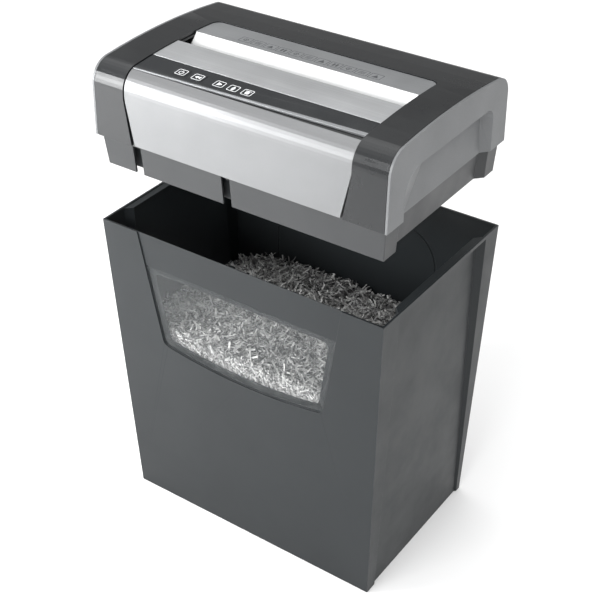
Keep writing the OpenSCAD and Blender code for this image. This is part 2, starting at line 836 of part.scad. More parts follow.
module shaft_front() {
    cutter_shaft(front_shaft_y, plate_x1 + 2);
}
module discs_front() {
    disc_set(front_shaft_y, cutter_x0, 0);
}
module spacers_front() {
    spacer_set(front_shaft_y, cutter_x0);
}
module stripper_front() {
    stripper(front_shaft_y, cutter_x0, -1);
}
module shaft_rear() {
    cutter_shaft(rear_shaft_y, 149);
}
module discs_rear() {
    disc_set(rear_shaft_y, cutter_x0 + pitch / 2, 30);
}
module spacers_rear() {
    spacer_set(rear_shaft_y, cutter_x0 + pitch / 2);
}
module stripper_rear() {
    stripper(rear_shaft_y, cutter_x0 + pitch / 2, 1);
}

// ---- Gears: involute teeth, 25 degree pressure angle, short addendum ----
pressure_a = 25;
backlash = 0.14;
function inv_angle(rb, r) = r <= rb ? 0 : sqrt(pow(r / rb, 2) - 1) * 180 / PI - acos(rb / r);
function gear_points(n, m, tooth_a) = let (
    rp = n * m / 2, rb = rp * cos(pressure_a), tip = rp + 0.8 * m, root = rp - 1.1 * m,
    half = 90 / n - backlash / (4 * rp) * 180 / PI + inv_angle(rb, rp),
    rise = [root, max(rb, root) + 0.15 * m, rp, rp + 0.45 * m, tip])
    [for (k = [0:n - 1]) let (c = tooth_a + 360 * k / n) each concat(
        [for (r = rise) let (a = c - half + inv_angle(rb, r)) [r * cos(a), r * sin(a)]],
        [for (j = [4:-1:0]) let (r = rise[j], a = c + half - inv_angle(rb, r))
            [r * cos(a), r * sin(a)]])];
module gear(p, x0, x1, n, m, tooth_a, bore) {
    at_yz(p, x0) linear_extrude(x1 - x0) difference() {
        polygon(gear_points(n, m, tooth_a));
        circle(r = bore);
    }
}

first_x = [124.5, 129.5];
second_x = [131, 136.5];
final_x = [138, 146];
sync_x = [-130.5, -123];
module final_gear() {
    color(steel) on_head()
        gear(rear_c, final_x[0], final_x[1], final_n, final_m, second_a, journal_r);
}
module sync_gear_rear() {
    color(steel) on_head() gear(rear_c, sync_x[0], sync_x[1], sync_n, sync_m, 180, journal_r);
}
module sync_gear_front() {
    color(steel) on_head() gear([front_shaft_y, shaft_z], sync_x[0], sync_x[1], sync_n, sync_m,
        180 / sync_n, journal_r);
}
module second_gear() {
    color(nylon) on_head() {
        gear(second_c, second_x[0], second_x[1], second_n, second_m, first_a, pin_r + running);
        gear(second_c, second_x[1], final_x[1] + 1, second_pinion_n, final_m,
            second_a + 180 + 180 / second_pinion_n, pin_r + running);
    }
}
module first_gear() {
    color(nylon) on_head() {
        gear(first_c, first_x[0], first_x[1], first_n, first_m, motor_a, pin_r + running);
        gear(first_c, first_x[1], second_x[1], first_pinion_n, second_m,
            first_a + 180 + 180 / first_pinion_n, pin_r + running);
    }
}
module motor_pinion() {
    color("#b08d4a") on_head() gear(motor_c, first_x[0], first_x[1], motor_n, first_m,
        motor_a + 180 + 180 / motor_n, motor_shaft_r);
}

cover_x = [124, 152.5];
cover_t = 1.5;
cover_posts = [[-40, 45], [25, 65.5], [98, 48], [50, 9]];
module gear_pins() {
    color(steel) on_head() for (p = [first_c, second_c])
        rod_x(plate_x0, cover_x[1] - cover_t, p[0], p[1], pin_r);
}

module cover_area(grow) {
    offset(delta = grow) hull() {
        translate(rear_c) circle(r = 29);
        translate(first_c) circle(r = 22.2);
        for (p = cover_posts) translate(p) circle(r = 3.2);
        translate(motor_c) circle(r = 8);
    }
}
module gear_cover() {
    color("#d9d6cc", 0.6) on_head() {
        difference() {
            along_x(cover_x[0], cover_x[1]) cover_area(cover_t);
            along_x(cover_x[0] - 1, cover_x[1] - cover_t) cover_area(0);
        }
        for (p = cover_posts) rod_x(plate_x1, cover_x[1] - 1, p[0], p[1], 3);
    }
}

// ---- Motor ----
motor_x = [24, plate_x0];
motor_r = 24;
motor_wall = 1.8;
module motor_can() {
    color("#9da1a5") on_head() difference() {
        union() {
            rod_x(motor_x[0], motor_x[1], motor_c[0], motor_c[1], motor_r);
            rod_x(motor_x[1] - eps, plate_x1, motor_c[0], motor_c[1], 7.9);
            rod_x(motor_x[0] - 4, motor_x[0] + eps, motor_c[0], motor_c[1], 8);
        }
        rod_x(motor_x[0] + motor_wall, motor_x[1] - 3, motor_c[0], motor_c[1], motor_r - motor_wall);
        rod_x(0, 130, motor_c[0], motor_c[1], motor_shaft_r + running);
        for (a = [20:60:320]) at_yz(step_from(motor_c, 16, a), motor_x[0] - 1)
            cylinder(h = 4, r = 3.2);
    }
}
module motor_rotor() {
    color(steel) on_head() {
        rod_x(6, first_x[1] + 1, motor_c[0], motor_c[1], motor_shaft_r);
        at_yz(motor_c, motor_x[0] + 22) linear_extrude(58) difference() {
            circle(r = 20);
            for (a = [0:30:330]) rotate(a) translate([17, -1]) square([4, 2]);
        }
        rod_x(motor_x[0] + 8, motor_x[0] + 18, motor_c[0], motor_c[1], 9);
    }
}
module motor_fan() {
    color(black) on_head() at_yz(motor_c, 8) {
        linear_extrude(9) difference() {
            circle(r = 6);
            circle(r = motor_shaft_r);
        }
        linear_extrude(1.4) difference() {
            circle(r = 21);
            circle(r = 5.5);
        }
        for (a = [0:40:320]) rotate([0, 0, a]) translate([5.5, -0.7, 0]) cube([15, 1.4, 8]);
    }
}
module rubber_mounts() {
    color("#2a2a2a") on_head() for (x = [34, 92]) difference() {
        block(x, x + 12, motor_c[0] - 17, motor_c[0] + 17, -0.3, motor_c[1] - 8);
        rod_x(x - 1, x + 13, motor_c[0], motor_c[1], motor_r);
    }
}
module thermal_cutout() {
    color(black) on_head() difference() {
        block(58, 76, motor_c[0] - 6, motor_c[0] + 6, motor_c[1] + motor_r - 1, motor_c[1] + motor_r + 5);
        rod_x(50, 80, motor_c[0], motor_c[1], motor_r);
    }
}

// ---- Interlock ----
lock_x = -12.5;
lock_y = -101;
lock_r = 2.2;
lock_tip_z = -6.5;
lock_seat_z = 3;
module interlock_switch() {
    color("#1d4f8a") on_head() difference() {
        block(lock_x - 11.5, lock_x + 11.5, lock_y - 5.6, lock_y + 6, -0.3, 15);
        translate([lock_x, lock_y, -2]) cylinder(h = 10, r = lock_r + running);
        translate([lock_x, lock_y, lock_seat_z]) cylinder(h = 10, r = 4.2);
    }
}
module interlock_plunger() {
    color("#c43c2c") on_head() translate([lock_x, lock_y, 0]) {
        translate([0, 0, lock_tip_z]) cylinder(h = lock_seat_z - lock_tip_z + eps, r = lock_r);
        translate([0, 0, lock_seat_z]) cylinder(h = 1.6, r = 3.9);
        translate([0, 0, lock_seat_z + 1.5]) cylinder(h = 4, r = 1.6);
    }
}
module interlock_spring() {
    color(steel) on_head() translate([lock_x, lock_y, 0])
        coil_spring(2.9, 0.3, lock_seat_z + 1.6, lock_seat_z + 10, 5);
}

// ---- Wiring ----
// Tube along a smooth curve through a few points
function spline(p, i, t) = let (a = p[max(i - 1, 0)], b = p[i], c = p[i + 1],
    d = p[min(i + 2, len(p) - 1)])
    0.5 * (2 * b + (c - a) * t + (2 * a - 5 * b + 4 * c - d) * t * t
        + (3 * b - a - 3 * c + d) * t * t * t);
module wire(p, r) {
    sides = 6;
    per = 6;
    path = concat([for (i = [0:len(p) - 2], k = [0:per - 1]) spline(p, i, k / per)],
        [p[len(p) - 1]]);
    n = len(path) - 1;
    function along(i) = path[min(i + 1, n)] - path[max(i - 1, 0)];
    function ring(i) = let (t = along(i) / norm(along(i)), s = cross(t, [0.2, 0.3, 0.93]),
        u = s / norm(s), v = cross(t, u))
        [for (k = [0:sides - 1]) path[i] + r * (u * cos(60 * k) + v * sin(60 * k))];
    pts = [for (i = [0:n]) each ring(i)];
    walls = [for (i = [0:n - 1], k = [0:sides - 1])
        let (a = i * sides + k, b = i * sides + (k + 1) % sides)
        each [[a, b, b + sides], [a, b + sides, a + sides]]];
    polyhedron(pts, concat([[for (k = [sides - 1:-1:0]) k]],
        [[for (k = [0:sides - 1]) n * sides + k]], walls));
}
module wiring_loom() {
    color("#7a1f1f") on_head() {
        // gland to terminal block
        wire([[138, 99, 14], [132, 90, 4], [110, 50, 3], [40, 40, 3], [0, 42, 6], [-24, 47, 16],
            [-29.5, 47, 16]], 2);
        // main board to motor
        wire([[-48, 70, 10], [-40, 72, 22], [-10, 74, 40], [20, 70, 60], [50, 72, 62],
            [57.5, 76, 57.5]], 1.4);
        // main board to control board
        wire([[-146, 40, 10], [-146, 30, 20], [-146, -10, 30], [-140, -60, 40], [-110, -78, 56],
            [-97, -78, 62.8], [-96.5, -78, 62.8]], 1.4);
    }
}

// ---- Housing screws and the posts they bite into ----
module housing_screws() {
    seat = housing_top - floor_t;
    color(steel) on_head() both_sides() for (p = post_spots) translate([p[0], p[1], seat]) {
        translate([0, 0, -2]) cylinder(h = 2, r = 3.2);
        translate([0, 0, -eps]) cylinder(h = 16, r = 1.8);
    }
}

bin_tub();
bin_window();
paper_shreds();
lower_housing();
top_frame();
inner_deck();
side_panel_left();
side_panel_right();
front_panel();
trim_strip();
control_strip();
name_strip();
rear_panel();
guide_rear();
guide_front();
rear_vent();
cord_gland();
power_key();
reverse_key();
power_spring();
reverse_spring();
indicator_lenses();
control_board();
main_board();
paper_sensor();
plate_left();
plate_right();
tie_rods();
plate_screws();
shaft_bushes();
stripper_front();
stripper_rear();
shaft_front();
discs_front();
spacers_front();
sync_gear_front();
shaft_rear();
discs_rear();
spacers_rear();
sync_gear_rear();
final_gear();
gear_pins();
second_gear();
first_gear();
gear_cover();
motor_can();
motor_rotor();
motor_pinion();
motor_fan();
thermal_cutout();
rubber_mounts();
interlock_switch();
interlock_plunger();
interlock_spring();
wiring_loom();
housing_screws();
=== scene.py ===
import json
import math
import random

import bmesh
import bpy
from mathutils import Matrix, Vector
from mathutils.bvhtree import BVHTree


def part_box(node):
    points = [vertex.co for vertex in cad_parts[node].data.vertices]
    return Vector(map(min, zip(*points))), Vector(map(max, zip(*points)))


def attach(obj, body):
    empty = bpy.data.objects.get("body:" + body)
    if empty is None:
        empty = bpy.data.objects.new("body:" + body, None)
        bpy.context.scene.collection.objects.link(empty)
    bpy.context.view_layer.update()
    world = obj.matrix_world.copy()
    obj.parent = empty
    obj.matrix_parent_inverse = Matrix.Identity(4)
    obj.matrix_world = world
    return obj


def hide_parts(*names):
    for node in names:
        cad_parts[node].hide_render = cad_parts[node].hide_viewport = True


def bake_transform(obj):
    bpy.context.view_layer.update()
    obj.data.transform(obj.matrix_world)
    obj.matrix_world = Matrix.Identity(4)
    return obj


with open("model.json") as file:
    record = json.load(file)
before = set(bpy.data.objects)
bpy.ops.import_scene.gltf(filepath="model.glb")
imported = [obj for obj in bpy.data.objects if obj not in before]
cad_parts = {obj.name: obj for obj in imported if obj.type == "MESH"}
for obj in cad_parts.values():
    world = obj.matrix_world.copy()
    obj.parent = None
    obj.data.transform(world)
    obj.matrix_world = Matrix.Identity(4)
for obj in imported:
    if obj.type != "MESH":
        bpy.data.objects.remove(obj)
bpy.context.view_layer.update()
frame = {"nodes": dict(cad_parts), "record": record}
NODES = frame["nodes"]
MM = 0.001


# ---------------------------------------------------------------- camera
def make_camera():
    """Three-quarter view from the front right, looking down on the feed slot."""
    eye = Vector((0.6736, -0.9484, 1.0662))
    yaw, pitch, roll = math.radians(35.40), math.radians(34.48), math.radians(-0.42)
    forward = Vector((-math.sin(yaw) * math.cos(pitch), math.cos(yaw) * math.cos(pitch), -math.sin(pitch)))
    level = forward.cross(Vector((0, 0, 1))).normalized()
    upright = level.cross(forward)
    right = math.cos(roll) * level + math.sin(roll) * upright
    up = right.cross(forward)
    cam = bpy.data.cameras.new("camera")
    cam.lens = 77.34
    cam.sensor_width = 36
    obj = bpy.data.objects.new("camera", cam)
    bpy.context.scene.collection.objects.link(obj)
    turn = Matrix((right, up, -forward)).transposed().to_4x4()
    obj.matrix_world = Matrix.Translation(eye) @ turn
    bpy.context.scene.camera = obj


make_camera()


# ---------------------------------------------------------------- materials
class Graph:
    """Short names for the node calls that the materials below share."""

    def __init__(self, name):
        self.mat = bpy.data.materials.new(name)
        self.mat.use_nodes = True
        self.tree = self.mat.node_tree
        self.bsdf = self.tree.nodes["Principled BSDF"]
        self.coord = self.add("ShaderNodeTexCoord").outputs["Object"]

    def add(self, kind, **values):
        node = self.tree.nodes.new(kind)
        for key, value in values.items():
            setattr(node, key, value)
        return node

    def link(self, a, b):
        self.tree.links.new(a, b)

    def scaled(self, scale):
        node = self.add("ShaderNodeMapping")
        node.inputs["Scale"].default_value = scale
        self.link(self.coord, node.inputs["Vector"])
        return node.outputs["Vector"]

    def noise(self, scale, detail=2.0, rough=0.5):
        """scale is in features per metre, or a triple of them for streaks."""
        vector = self.coord
        if isinstance(scale, tuple):
            vector, scale = self.scaled(scale), 1.0
        node = self.add("ShaderNodeTexNoise")
        node.inputs["Scale"].default_value = scale
        node.inputs["Detail"].default_value = detail
        node.inputs["Roughness"].default_value = rough
        self.link(vector, node.inputs["Vector"])
        return node.outputs["Fac"]

    def span(self, value, a, b, low, high):
        """value from a to b becomes low to high."""
        node = self.add("ShaderNodeMapRange")
        for key, number in (("From Min", a), ("From Max", b), ("To Min", low), ("To Max", high)):
            node.inputs[key].default_value = number
        self.link(value, node.inputs["Value"])
        return node.outputs["Result"]

    def math(self, op, a, b):
        node = self.add("ShaderNodeMath", operation=op)
        for socket, v in zip(node.inputs, (a, b)):
            if isinstance(v, (int, float)):
                socket.default_value = v
            else:
                self.link(v, socket)
        return node.outputs[0]

    def mix(self, fac, a, b):
        node = self.add("ShaderNodeMix", data_type="RGBA")
        self.link(fac, node.inputs["Factor"])
        for socket, v in ((node.inputs["A"], a), (node.inputs["B"], b)):
            if isinstance(v, tuple):
                socket.default_value = (*v, 1.0)
            else:
                self.link(v, socket)
        return node.outputs["Result"]

    def bump(self, height, strength, depth):
        node = self.add("ShaderNodeBump")
        node.inputs["Strength"].default_value = strength
        node.inputs["Distance"].default_value = depth
        self.link(height, node.inputs["Height"])
        return node.outputs["Normal"]

    def edges(self, radius):
        """1 on sharp edges, 0 on open faces."""
        soft = self.add("ShaderNodeBevel", samples=4)
        soft.inputs["Radius"].default_value = radius
        flat = self.add("ShaderNodeNewGeometry").outputs["Normal"]
        dot = self.add("ShaderNodeVectorMath", operation="DOT_PRODUCT")
        self.link(soft.outputs["Normal"], dot.inputs[0])
        self.link(flat, dot.inputs[1])
        return self.span(dot.outputs["Value"], 0.96, 0.78, 0.0, 1.0)


def tone(color, k):
    return tuple(min(1.0, c * k) for c in color)


def moulded(name, color, rough=0.42, grain=0.35, wear_and_highlight=0.35, spec=0.5, metal=0.0, coat=0.0, vary=0.06):
    """Injection-moulded plastic: spark-eroded grain, faint flow marks, and edges painted paler, partly as
    handled wear and partly as a painted highlight where the edges catch the lamps.
    """
    g = Graph(name)
    flow = g.noise((9, 9, 3), 3)
    base = g.mix(g.span(flow, 0.35, 0.65, 0, 1), tone(color, 1 - vary), tone(color, 1 + vary))
    speck = g.noise(900, 1)
    base = g.mix(g.span(speck, 0.55, 0.8, 0, 0.25), base, tone(color, 1.5))
    if wear_and_highlight:
        # edges lightened: partly rubbed wear, partly a painted highlight on the rounded edges
        rubbed_and_lit_edges = g.math("MULTIPLY", g.edges(0.0007), g.span(g.noise(60, 3), 0.4, 0.7, 0.1, wear_and_highlight))
        base = g.mix(rubbed_and_lit_edges, base, tuple(min(1.0, 0.10 + c * 1.35) for c in color))
    g.link(base, g.bsdf.inputs["Base Color"])
    smudge = g.noise(22, 4, 0.6)
    g.link(g.span(smudge, 0.3, 0.7, rough - 0.05, rough + 0.07), g.bsdf.inputs["Roughness"])
    fine = g.noise(2600, 2)
    g.link(g.bump(fine, grain, 0.00006), g.bsdf.inputs["Normal"])
    g.bsdf.inputs["Specular IOR Level"].default_value = spec
    g.bsdf.inputs["Metallic"].default_value = metal
    if coat:
        g.bsdf.inputs["Coat Weight"].default_value = coat
        g.bsdf.inputs["Coat Roughness"].default_value = 0.16
    return g.mat


def metallic_paint(name, color, rough=0.34, brushed=0.0, metal=0.75):
    """Silver lacquer over plastic: flake, and on the strips a fine brushed lay along the width."""
    g = Graph(name)
    flake = g.noise(5200, 1)
    cloud = g.noise((5, 14, 14), 3)
    base = g.mix(g.span(cloud, 0.35, 0.65, 0, 1), tone(color, 0.95), tone(color, 1.04))
    base = g.mix(g.span(flake, 0.5, 0.75, 0, 0.35), base, tone(color, 1.22))
    height = flake
    if brushed:
        lay = g.noise((7, 1800, 1800), 3, 0.65)
        base = g.mix(g.span(lay, 0.35, 0.65, 0, brushed), base, tone(color, 0.62))
        height = g.math("ADD", g.math("MULTIPLY", flake, 0.3), lay)
    # painted highlight: the edges are lightened, in patches, to more than twice the paint's colour
    rubbed_and_lit_edges = g.math("MULTIPLY", g.edges(0.0006), g.span(g.noise(70, 3), 0.45, 0.7, 0.05, 0.5))
    g.link(g.mix(rubbed_and_lit_edges, base, tone(color, 2.2)), g.bsdf.inputs["Base Color"])
    g.link(g.span(g.noise(18, 4, 0.6), 0.3, 0.7, rough - 0.04, rough + 0.06), g.bsdf.inputs["Roughness"])
    g.link(g.bump(height, 0.22 if brushed else 0.10, 0.00004), g.bsdf.inputs["Normal"])
    g.bsdf.inputs["Metallic"].default_value = metal
    return g.mat


def machined(name, color, rough=0.32, streak=(40, 1500, 1500)):
    """Cut or drawn metal with its lay, stained a little by oil."""
    g = Graph(name)
    lay = g.noise(streak, 3, 0.6)
    stain = g.noise(55, 4, 0.65)
    base = g.mix(g.span(lay, 0.3, 0.7, 0, 1), tone(color, 0.82), tone(color, 1.12))
    base = g.mix(g.span(stain, 0.52, 0.75, 0, 0.4), base, tone(color, 0.55))
    # painted highlight: the edges are lightened to half again the metal's colour
    edge_highlight = g.math("MULTIPLY", g.edges(0.0004), 0.6)
    g.link(g.mix(edge_highlight, base, tone(color, 1.5)), g.bsdf.inputs["Base Color"])
    g.link(g.span(stain, 0.3, 0.7, rough - 0.08, rough + 0.12), g.bsdf.inputs["Roughness"])
    g.link(g.bump(lay, 0.25, 0.00004), g.bsdf.inputs["Normal"])
    g.bsdf.inputs["Metallic"].default_value = 1.0
    return g.mat


def clear_pane(name):
    """Clear tinted polycarbonate with a few hair scratches."""
    g = Graph(name)
    hair = g.noise((1400, 1400, 12), 2)
    smear = g.noise(14, 4, 0.6)
    tint = g.mix(g.span(smear, 0.4, 0.7, 0, 1), (0.24, 0.255, 0.26), (0.30, 0.315, 0.32))
    g.link(tint, g.bsdf.inputs["Base Color"])
    g.link(g.span(smear, 0.3, 0.7, 0.04, 0.16), g.bsdf.inputs["Roughness"])
    g.link(g.span(hair, 0.62, 0.8, 0.10, 0.20), g.bsdf.inputs["Alpha"])
    g.bsdf.inputs["Specular IOR Level"].default_value = 0.6
    return g.mat


def paper_strips(name):
    """Shredded office paper: each strip gets its own grey, from near black to near white; the darker greys
    are painted shade of strips lying in shadow among the others, and some strips carry grey print.
    """
    g = Graph(name)
    island = g.add("ShaderNodeNewGeometry").outputs["Random Per Island"]
    ramp = g.add("ShaderNodeValToRGB")
    # strip tones: the dark end is painted shade, the light end is the paper's white
    stops = [(0.0, 0.05), (0.25, 0.18), (0.55, 0.40), (0.85, 0.64), (1.0, 0.82)]
    while len(ramp.color_ramp.elements) < len(stops):
        ramp.color_ramp.elements.new(0.5)
    for element, (place, value) in zip(ramp.color_ramp.elements, stops):
        element.position = place
        element.color = (value, value, value * 0.985, 1)
    g.link(island, ramp.inputs["Fac"])
    print_mark = g.span(g.noise(420, 3, 0.7), 0.56, 0.64, 0, 0.45)
    base = g.mix(print_mark, ramp.outputs["Color"], (0.16, 0.16, 0.17))
    g.link(base, g.bsdf.inputs["Base Color"])
    g.link(g.span(g.noise(300, 2), 0.3, 0.7, 0.7, 0.9), g.bsdf.inputs["Roughness"])
    g.link(g.bump(g.noise(2400, 3), 0.3, 0.00008), g.bsdf.inputs["Normal"])
    g.bsdf.inputs["Specular IOR Level"].default_value = 0.25
    return g.mat


def shaded_paper_mass(name):
    """The mass under the loose strips: the same paper, coloured as a dark tangle with grey patches, as
    painted shade of the hollows deep in the heap.
    """
    g = Graph(name)
    tangle = g.noise((330, 330, 500), 5, 0.75)
    cell = g.add("ShaderNodeTexVoronoi")
    cell.inputs["Scale"].default_value = 260
    g.link(g.coord, cell.inputs["Vector"])
    # painted shade: the paper is coloured near black to mid grey, with lighter grey patches
    base = g.mix(g.span(tangle, 0.42, 0.62, 0, 1), (0.035, 0.037, 0.040), (0.34, 0.34, 0.335))
    base = g.mix(g.span(cell.outputs["Distance"], 0.1, 0.5, 0.5, 0), base, (0.50, 0.50, 0.49))
    g.link(base, g.bsdf.inputs["Base Color"])
    g.link(g.span(tangle, 0.3, 0.7, 0.75, 0.95), g.bsdf.inputs["Roughness"])
    g.link(g.bump(tangle, 0.9, 0.0012), g.bsdf.inputs["Normal"])
    return g.mat


def circuit_board(name):
    """Green solder mask over copper tracks."""
    g = Graph(name)
    tracks = g.add("ShaderNodeTexBrick")
    g.link(g.coord, tracks.inputs["Vector"])
    tracks.inputs["Scale"].default_value = 140
    tracks.inputs["Mortar Size"].default_value = 0.06
    tracks.inputs["Color1"].default_value = (0.012, 0.105, 0.045, 1)
    tracks.inputs["Color2"].default_value = (0.018, 0.135, 0.060, 1)
    tracks.inputs["Mortar"].default_value = (0.05, 0.24, 0.10, 1)
    g.link(tracks.outputs["Color"], g.bsdf.inputs["Base Color"])
    g.link(g.span(g.noise(60, 3), 0.3, 0.7, 0.22, 0.38), g.bsdf.inputs["Roughness"])
    g.link(g.bump(tracks.outputs["Fac"], 0.4, 0.00006), g.bsdf.inputs["Normal"])
    return g.mat


GUNMETAL = (0.014, 0.0155, 0.017)
MATERIALS = {
    # the bin's edges are lightened the most, as a painted highlight along its rims and recess edges more
    # than as wear
    "bin_shell": moulded(
        "bin_shell", (0.0180, 0.0208, 0.0226), rough=0.34, grain=0.18, wear_and_highlight=0.9, spec=0.22),
    "window": clear_pane("window"),
    "housing": moulded("housing", (0.021, 0.023, 0.025), rough=0.36, grain=0.3, wear_and_highlight=0.2),
    "frame_shell": moulded("frame_shell", GUNMETAL, rough=0.30, grain=0.12, wear_and_highlight=0.3, metal=0.25, coat=0.15),
    # the side panels are the housing's dark grey plastic; their much lighter grey is painted light on upper
    # surfaces that face the lamps
    "side_shell": moulded("side_shell", (0.160, 0.165, 0.170), rough=0.40, grain=0.2, wear_and_highlight=0.2, metal=0.15),
    "silver_panel": metallic_paint("silver_panel", (0.215, 0.219, 0.223), rough=0.44),
    "silver_trim": metallic_paint("silver_trim", (0.36, 0.37, 0.38), rough=0.34, brushed=0.25),
    "brushed_strip": metallic_paint("brushed_strip", (0.53, 0.54, 0.55), rough=0.36, brushed=0.4),
    "rear_silver": metallic_paint("rear_silver", (0.37, 0.38, 0.39), rough=0.38, brushed=0.35),
    "gloss_black": moulded(
        "gloss_black", (0.014, 0.016, 0.018), rough=0.16, grain=0.04, wear_and_highlight=0.15, coat=0.4),
    "white_guide": moulded("white_guide", (0.84, 0.85, 0.85), rough=0.36, grain=0.1, wear_and_highlight=0.0, vary=0.02),
    "black_plastic": moulded("black_plastic", (0.014, 0.015, 0.016), rough=0.5, grain=0.4, wear_and_highlight=0.2),
    "lens": moulded("lens", (0.55, 0.60, 0.61), rough=0.18, grain=0.05, wear_and_highlight=0.0, vary=0.03),
    "circuit": circuit_board("circuit"),
    "steel": machined("steel", (0.50, 0.51, 0.52)),
    "zinc_steel": machined("zinc_steel", (0.46, 0.48, 0.50), rough=0.38, streak=(300, 300, 300)),
    "spring_steel": machined("spring_steel", (0.42, 0.43, 0.45), rough=0.28, streak=(900, 900, 60)),
    "bronze": machined("bronze", (0.52, 0.36, 0.17), rough=0.4, streak=(500, 500, 500)),
    "nylon": moulded("nylon", (0.70, 0.68, 0.60), rough=0.4, grain=0.2, wear_and_highlight=0.0, vary=0.04),
    "cover_plastic": moulded(
        "cover_plastic", (0.60, 0.59, 0.54), rough=0.3, grain=0.15, wear_and_highlight=0.0, vary=0.04),
    "rubber": moulded("rubber", (0.022, 0.022, 0.023), rough=0.72, grain=0.6, wear_and_highlight=0.0, spec=0.3),
    "wire": moulded("wire", (0.22, 0.018, 0.016), rough=0.4, grain=0.1, wear_and_highlight=0.0),
    "switch_blue": moulded("switch_blue", (0.02, 0.07, 0.25), rough=0.38, grain=0.2, wear_and_highlight=0.0),
    "paper": paper_strips("paper"),
    "paper_mass": shaded_paper_mass("paper_mass"),
    "print_white": moulded("print_white", (0.78, 0.79, 0.80), rough=0.5, grain=0.1, wear_and_highlight=0.0, vary=0.03),
    "print_grey": moulded("print_grey", (0.060, 0.064, 0.068), rough=0.5, grain=0.1, wear_and_highlight=0.0),
}
# Nodes that are shown in another finish than their slot's
OVERRIDE = {"name_strip": "brushed_strip", "interlock_plunger": "black_plastic"}

# How far the edges of the mouldings and plates are rounded, in mm
ROUNDING = {
    "bin_tub": 0.7, "bin_window": 0.4, "lower_housing": 0.7, "top_frame": 0.8, "side_panel_left": 0.7,
    "side_panel_right": 0.7, "front_panel": 0.8, "trim_strip": 0.3, "control_strip": 0.3,
    "name_strip": 0.4, "rear_panel": 0.4, "guide_rear": 0.3, "guide_front": 0.3, "power_key": 0.25,
    "reverse_key": 0.25, "rear_vent": 0.3, "cord_gland": 0.5, "plate_left": 0.4, "plate_right": 0.4,
    "gear_cover": 0.5, "inner_deck": 0.4,
}


def dress_cad():
    slots = {s["node"]: s["material_slot"] for s in frame["record"]["subparts"]}
    for name, obj in NODES.items():
        material = MATERIALS[OVERRIDE.get(name, slots[name])]
        for slot in obj.material_slots:
            slot.link = "OBJECT"
            slot.material = material
        if name in ROUNDING:
            weld = obj.modifiers.new("weld", "WELD")
            weld.merge_threshold = 0.00002
            bevel = obj.modifiers.new("rounding", "BEVEL")
            bevel.limit_method = "ANGLE"
            bevel.angle_limit = math.radians(24)
            bevel.width = ROUNDING[name] * MM
            bevel.segments = 3
            bevel.miter_outer = "MITER_ARC"
            bevel.harden_normals = True


dress_cad()


# ---------------------------------------------------------------- helpers for pieces
def add_object(name, mesh, material, body, smooth=False):
    obj = bpy.data.objects.new(name, mesh)
    bpy.context.scene.collection.objects.link(obj)
    mesh.materials.append(material)
    if smooth:
        for face in mesh.polygons:
            face.use_smooth = True
    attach(obj, body)
    return obj


ABOVE_ALL = 1.0  # a height over the whole shredder, where rays start


def surface_of(*names):
    """Finds the height of the named nodes' top surface at a place in plan."""
    trees = []
    for name in names:
        bm = bmesh.new()
        bm.from_mesh(NODES[name].data)
        trees.append(BVHTree.FromBMesh(bm))
        bm.free()

    def height(x, y):
        hits = [t.ray_cast(Vector((x, y, ABOVE_ALL)), Vector((0, 0, -1)))[0] for t in trees]
        found = [hit.z for hit in hits if hit]
        return max(found) if found else None

    return height


# ---------------------------------------------------------------- springs as pieces of their own
def make_coil(node):
    """The spring as a piece of its own: a copy of its mesh in spring steel, with the CAD node hidden."""
    mesh = NODES[node].data.copy()
    mesh.materials.clear()
    mesh.materials.append(MATERIALS["spring_steel"])
    obj = bpy.data.objects.new(node.replace("spring", "coil"), mesh)
    obj.matrix_world = NODES[node].matrix_world
    bpy.context.scene.collection.objects.link(obj)
    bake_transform(obj)
    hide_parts(node)


make_coil("power_spring")
make_coil("reverse_spring")
make_coil("interlock_spring")


# ---------------------------------------------------------------- shredded paper
BIN_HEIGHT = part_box("bin_tub")[1].z
BASE_HALF_WIDTH, SIDE_LEAN = 0.1535, 0.0100
FRONT_GAP, FRONT_LEAN = 0.0070, 0.008
REAR_GAP, REAR_LEAN = 0.0052, 0.013
HEAP_TOP = 0.2475
LUMPS = 70
TOP_STRIPS = 9500
FRONT_STRIPS = 3600
STRIP_WIDTH = (0.0012, 0.0021)
STRIP_THICKNESS = 0.00022
ON_EDGE = 1.57  # roll of a strip that lies flat against the front wall
MASS_SINK = 0.004  # how far the mass lies below the heap's nominal top
WALL_LEVEL = 0.24  # height at which the mass meets the walls
WALL_CLEARANCE = 0.002


def bin_half_width(z):
    """Inner half width of the bin between its side recesses."""
    return BASE_HALF_WIDTH + SIDE_LEAN * z / BIN_HEIGHT


def heap_height(x, y, hills):
    """Top of the heap: a gentle fall to the back and at the left end, with lumps."""
    base = HEAP_TOP - 0.015 * min(1.0, max(0.0, (y + 0.075) / 0.16))
    base -= 0.016 * min(1.0, max(0.0, (-0.105 - x) / 0.045)) ** 1.5
    lumps = sum(h * math.exp(-((x - hx) ** 2 + (y - hy) ** 2) / (2 * r * r)) for hx, hy, r, h in hills)
    return base + lumps


